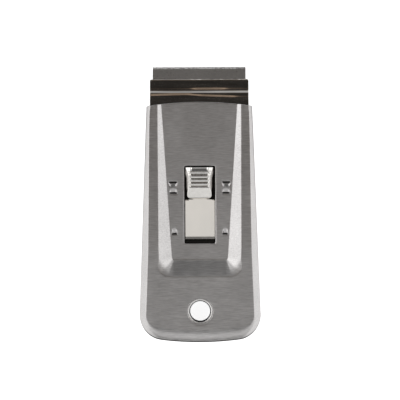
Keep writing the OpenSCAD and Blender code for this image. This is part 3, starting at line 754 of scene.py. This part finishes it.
def button_height(x, t):
    """Height over the leaf: pad rising to the bed of the ribs, a ridge, a scooped nose between cheeks."""
    x = abs(x)
    half = button_half(t)
    top = along_line([
        (0.0, 0.55), (0.3, 0.85), (0.9, 1.22), (4.6, 2.9), (4.85, 2.68), (10.4, 2.55), (10.7, 2.95),
        (11.15, 3.0), (12.3, 2.33), (13.16, 2.05)], t, 0.12)
    cheeks = along_line([(0.0, 0.0), (10.7, 2.9), (11.3, 3.0), (13.16, 2.7)], t)
    if t > nose_t:
        top += (cheeks - top) * ease((x - nose_half) / 0.45)
    elif t > bed_t:
        frame_top = 2.85 + (t - bed_t) * 0.025
        top += (frame_top - top) * ease((x - bed_half) / 0.16)
    # The flanks slope from the flat top to a shoulder, then turn down to the edge.
    flat = along_line([(0.0, 4.7), (2.4, 4.6), (4.4, 4.1), (9.2, 4.0), (10.4, 3.45), (13.16, 3.4)], t)
    shoulder = along_line([(0.0, 5.0), (2.4, 4.9), (3.6, 4.55), (5.0, 4.3), (9.4, 4.25), (13.16, 5.75)], t)
    slope = along_line([(0.0, 0.1), (2.4, 0.1), (4.4, 0.34), (13.16, 0.34)], t)
    shoulder = min(shoulder, half - 0.22)
    top -= slope * max(0.0, min(x, shoulder) - flat)
    if x > shoulder:
        top *= 1 - 0.66 * min(1.0, (x - shoulder) / (half - shoulder)) ** 1.25
    return top * min(1.0, 0.4 + min(t, button_len - t) / 0.4)


# Steps along the button from its rear end, and shares of the half width across it.
steps = [0.0, 0.03, 0.1, 0.18, 0.27, 0.38, 0.55] + spread(0.8, 12.6, 72)
steps += [12.6, 12.75, 12.9, 13.0, 13.08, 13.14, button_len]
across = spread(0.0, 0.6, 12) + spread(0.6, 0.82, 8)
across += [0.82 + 0.18 * math.sin(math.pi / 2 * i / 10) for i in range(11)]
points, polygons = [], []
for t in steps:
    half = button_half(t)
    row = [(half * u, leaf_z + (button_height(half * u, t) if u < 1 else 0.0)) for u in across]
    row.append((half, leaf_z))
    points += [(-x, button_y0 + t, z) for x, z in row[:0:-1]] + [(x, button_y0 + t, z) for x, z in row]
# A row at each end closes down to the leaf, and one face closes the underside.
per_row, row_count = len(points) // len(steps), len(steps) + 2
rear_row = [(x, button_y0, leaf_z) for x, _, _ in points[:per_row]]
front_row = [(x, button_y0 + button_len, leaf_z) for x, _, _ in points[-per_row:]]
points = [(x + button_shift, y, z) for x, y, z in rear_row + points + front_row]
for k in range(row_count - 1):
    for j in range(per_row - 1):
        a = k * per_row + j
        polygons.append((a, a + 1, a + per_row + 1, a + per_row))
rim = [k * per_row for k in range(row_count)]
rim += [(row_count - 1) * per_row + j for j in range(1, per_row)]
rim += [k * per_row + per_row - 1 for k in range(row_count - 2, -1, -1)]
rim += [j for j in range(per_row - 2, 0, -1)]
polygons.append(tuple(rim))
make_piece("thumb_pad", points, polygons, button_nickel, "button", "thumb_button")


def rib_tree(name):
    """Geometry nodes: a row of round-ended bars across the button, stepping back by a pitch."""
    tree, get = start_tree(name, (
        "Count", "Middle X", "Front Y", "Front Z", "Pitch", "Fall", "Depth", "Height", "Lean", "Length"))
    start = add_node(tree, "ShaderNodeCombineXYZ", {
        "X": get["Middle X"], "Y": get["Front Y"], "Z": get["Front Z"]})
    back = add_node(tree, "ShaderNodeMath", {0: get["Pitch"], 1: -1.0}, operation="MULTIPLY")
    down = add_node(tree, "ShaderNodeMath", {0: get["Fall"], 1: -1.0}, operation="MULTIPLY")
    step = add_node(tree, "ShaderNodeCombineXYZ", {"Y": back.outputs[0], "Z": down.outputs[0]})
    places = add_node(tree, "GeometryNodeMeshLine", {
        "Count": get["Count"], "Start Location": start.outputs[0], "Offset": step.outputs[0]})
    half = add_node(tree, "ShaderNodeMath", {0: get["Length"], 1: 0.5}, operation="MULTIPLY")
    other = add_node(tree, "ShaderNodeMath", {0: get["Length"], 1: -0.5}, operation="MULTIPLY")
    left = add_node(tree, "ShaderNodeCombineXYZ", {"X": other.outputs[0]})
    right = add_node(tree, "ShaderNodeCombineXYZ", {"X": half.outputs[0]})
    spine = add_node(tree, "GeometryNodeCurvePrimitiveLine", {
        "Start": left.outputs[0], "End": right.outputs[0]})
    round_bar = add_node(tree, "GeometryNodeCurvePrimitiveCircle", {"Resolution": 24, "Radius": 1.0})
    bar = add_node(tree, "GeometryNodeCurveToMesh", {
        "Curve": spine.outputs[0], "Profile Curve": round_bar.outputs[0]})
    section = add_node(tree, "ShaderNodeCombineXYZ", {"X": 1.0, "Y": get["Depth"], "Z": get["Height"]})
    flat_bar = add_node(tree, "GeometryNodeTransform", {
        "Geometry": bar.outputs[0], "Scale": section.outputs[0]})
    ball = add_node(tree, "GeometryNodeMeshUVSphere", {"Segments": 24, "Rings": 12, "Radius": 1.0})
    end = add_node(tree, "ShaderNodeCombineXYZ", {
        "X": get["Height"], "Y": get["Depth"], "Z": get["Height"]})
    rib = add_node(tree, "GeometryNodeJoinGeometry", {"Geometry": flat_bar.outputs[0]})
    for place in (left, right):
        cap = add_node(tree, "GeometryNodeTransform", {
            "Geometry": ball.outputs["Mesh"], "Translation": place.outputs[0], "Scale": end.outputs[0]})
        tree.links.new(cap.outputs[0], rib.inputs["Geometry"])
    lean = add_node(tree, "ShaderNodeCombineXYZ", {"X": get["Lean"]})
    leaning = add_node(tree, "GeometryNodeTransform", {
        "Geometry": rib.outputs[0], "Rotation": lean.outputs[0]})
    end_tree(tree, places.outputs["Mesh"], leaning.outputs[0], get["Metal"])
    return tree


ribs = grow("grip_ribs", rib_tree("grip_rib_row"), {
    "Count": 3, "Middle X": button_shift * MM, "Front Y": rib_first * MM, "Front Z": (leaf_z + 2.72) * MM,
    "Pitch": rib_pitch * MM, "Fall": -0.05 * MM, "Depth": 0.6 * MM, "Height": 0.25 * MM,
    "Lean": math.radians(23), "Length": (rib_half - 0.5) * 2 * MM, "Metal": button_nickel})
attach(ribs, "button")


# Studio. White table seen by camera and metal as plain white, a soft box on each side, a pale sky
# behind the rear end, and a dark camera stand over the blade end, as metal is usually photographed.

table_half, table_z = 2.0, -0.0002
table_mesh = bpy.data.meshes.new("white_table")
table_mesh.from_pydata([(sx * table_half, sy * table_half, table_z) for sx, sy in (
    (-1, -1), (1, -1), (1, 1), (-1, 1))], [], [(0, 1, 2, 3)])
table = bpy.data.objects.new("white_table", table_mesh)
bpy.context.scene.collection.objects.link(table)
# White paper sweep: plain white with a faint shadow to the camera. In the metal it shows white too, with a
# painted shadow close to the casing, where the casing itself would keep the light off.
paper = bpy.data.materials.new("white_paper_sweep")
paper.use_nodes = True
tree = paper.node_tree
tree.nodes.clear()
ray = add_node(tree, "ShaderNodeLightPath")
mirrored = add_node(tree, "ShaderNodeMath", {
    0: ray.outputs["Is Glossy Ray"], 1: ray.outputs["Is Transmission Ray"]}, operation="MAXIMUM")
beside = add_node(tree, "ShaderNodeTexCoord").outputs["Object"]
for operation, amount in (
        ("ADD", (0.0, 0.007, 0.0)), ("ABSOLUTE", (0.0, 0.0, 0.0)), ("SUBTRACT", (0.024, 0.05, 0.0)),
        ("MAXIMUM", (0.0, 0.0, 0.0)), ("MULTIPLY", (1.5, 0.1, 0.0))):
    beside = add_node(tree, "ShaderNodeVectorMath", {0: beside, 1: amount}, operation=operation).outputs[0]
away = add_node(tree, "ShaderNodeVectorMath", {0: beside}, operation="LENGTH")
# Painted shadow: the glow seen in the metal runs from nearly dark close to the casing to bright beyond.
strength = add_node(tree, "ShaderNodeMapRange", {
    "Value": away.outputs["Value"], "From Min": 0.001, "From Max": 0.006, "To Min": 0.05, "To Max": 1.24})
matt = add_node(tree, "ShaderNodeBsdfDiffuse", {"Color": linear("#f2f2f2")})
glow = add_node(tree, "ShaderNodeEmission", {"Color": (1, 1, 1, 1), "Strength": 0.88})
lit = add_node(tree, "ShaderNodeAddShader", {0: matt.outputs[0], 1: glow.outputs[0]})
glow_with_painted_shadow = add_node(tree, "ShaderNodeEmission", {"Color": (1, 1, 1, 1), "Strength": strength.outputs[0]})
unseen = add_node(tree, "ShaderNodeMixShader", {
    0: mirrored.outputs[0], 1: matt.outputs[0], 2: glow_with_painted_shadow.outputs[0]})
sweep = add_node(tree, "ShaderNodeMixShader", {
    0: ray.outputs["Is Camera Ray"], 1: unseen.outputs[0], 2: lit.outputs[0]})
add_node(tree, "ShaderNodeOutputMaterial", {"Surface": sweep.outputs[0]})
table_mesh.materials.append(paper)

world = bpy.data.worlds.new("studio")
world.use_nodes = True
bpy.context.scene.world = world
tree = world.node_tree
tree.nodes.clear()
place = add_node(tree, "ShaderNodeTexCoord")
way = add_node(tree, "ShaderNodeSeparateXYZ", {"Vector": place.outputs["Generated"]})


def ramp_over(tree, angle, stops):
    """Grey or colour by an angle of -90 to 90 degrees, from stops of (degrees, value)."""
    turn = add_node(tree, "ShaderNodeMapRange", {
        "Value": angle, "From Min": -math.pi / 2, "From Max": math.pi / 2})
    ramp = add_node(tree, "ShaderNodeValToRGB", {"Fac": turn.outputs[0]})
    marks = ramp.color_ramp.elements
    while len(marks) < len(stops):
        marks.new(0.5)
    for mark, (degrees, value) in zip(marks, stops):
        mark.position = (degrees + 90) / 180
        mark.color = (*value, 1) if isinstance(value, tuple) else (value, value, value, 1)
    return ramp.outputs["Color"]


# Angles of a direction: to the blade end, to the right, round from the side, and down from straight up.
fore = add_node(tree, "ShaderNodeMath", {0: way.outputs["Y"], 1: way.outputs["Z"]}, operation="ARCTAN2")
side = add_node(tree, "ShaderNodeMath", {0: way.outputs["X"], 1: way.outputs["Z"]}, operation="ARCTAN2")
aside = add_node(tree, "ShaderNodeMath", {0: way.outputs["X"]}, operation="ABSOLUTE")
bearing = add_node(tree, "ShaderNodeMath", {0: way.outputs["Y"], 1: aside.outputs[0]}, operation="ARCTAN2")
tilt = add_node(tree, "ShaderNodeMath", {0: way.outputs["Z"]}, operation="ARCCOSINE")
stand = (0.036, 0.033, 0.03)
sky = ramp_over(tree, fore.outputs[0], [
    (-90, 0.05), (-78, 0.26), (-60, 0.87), (-40, 0.79), (-27, 0.45), (-14, 0.14), (-9.5, 0.1),
    (-5.5, 0.92), (-1.8, 0.92), (0.6, (0.16, 0.12, 0.09)), (2.2, stand), (12.5, stand),
    (15.5, (0.52, 0.39, 0.29)), (18.5, 0.06), (29, 0.07), (33, 0.52), (40, 0.52), (45, 0.11),
    (70, 0.11), (90, 0.4)])
box_round = ramp_over(tree, bearing.outputs[0], [
    (-68, 0.0), (-60, 0.38), (-46, 0.48), (-30, 0.76), (-10, 0.98), (0, 1.0), (34, 1.0), (42, 0.48),
    (53, 0.4), (66, 0.05), (78, 0.0)])
box_up = ramp_over(tree, tilt.outputs[0], [(0, 0.0), (30, 0.0), (46, 1.0)])
box_share = add_node(tree, "ShaderNodeMath", {0: box_round, 1: box_up}, operation="MULTIPLY")
box_side = ramp_over(tree, side.outputs[0], [(-20, 1.42), (20, 1.21)])
box_fore = ramp_over(tree, bearing.outputs[0], [(4, 1.0), (22, 1.4)])
box_tone = add_node(tree, "ShaderNodeVectorMath", {0: box_side, 1: box_fore}, operation="MULTIPLY")
room = add_node(tree, "ShaderNodeMix", {
    0: box_share.outputs[0], 6: sky, 7: box_tone.outputs[0]}, data_type="RGBA")
direct = add_node(tree, "ShaderNodeLightPath")
seen = add_node(tree, "ShaderNodeMix", {
    0: direct.outputs["Is Camera Ray"], 6: room.outputs[2], 7: (1, 1, 1, 1)}, data_type="RGBA")
backdrop = add_node(tree, "ShaderNodeBackground", {"Color": seen.outputs[2], "Strength": 1.0})
add_node(tree, "ShaderNodeOutputWorld", {"Surface": backdrop.outputs[0]})

camera_data = bpy.data.cameras.new("camera")
camera = bpy.data.objects.new("camera", camera_data)
bpy.context.scene.collection.objects.link(camera)
bpy.context.scene.camera = camera
camera_data.sensor_width = 36.0
camera_data.lens = 141.4
camera_data.clip_start, camera_data.clip_end = 0.05, 10.0
camera.location = (0.00013, 0.00182, 0.654)
camera.rotation_euler = (0.0, 0.0, math.radians(-0.26))
bpy.context.scene.view_settings.view_transform = "Standard"
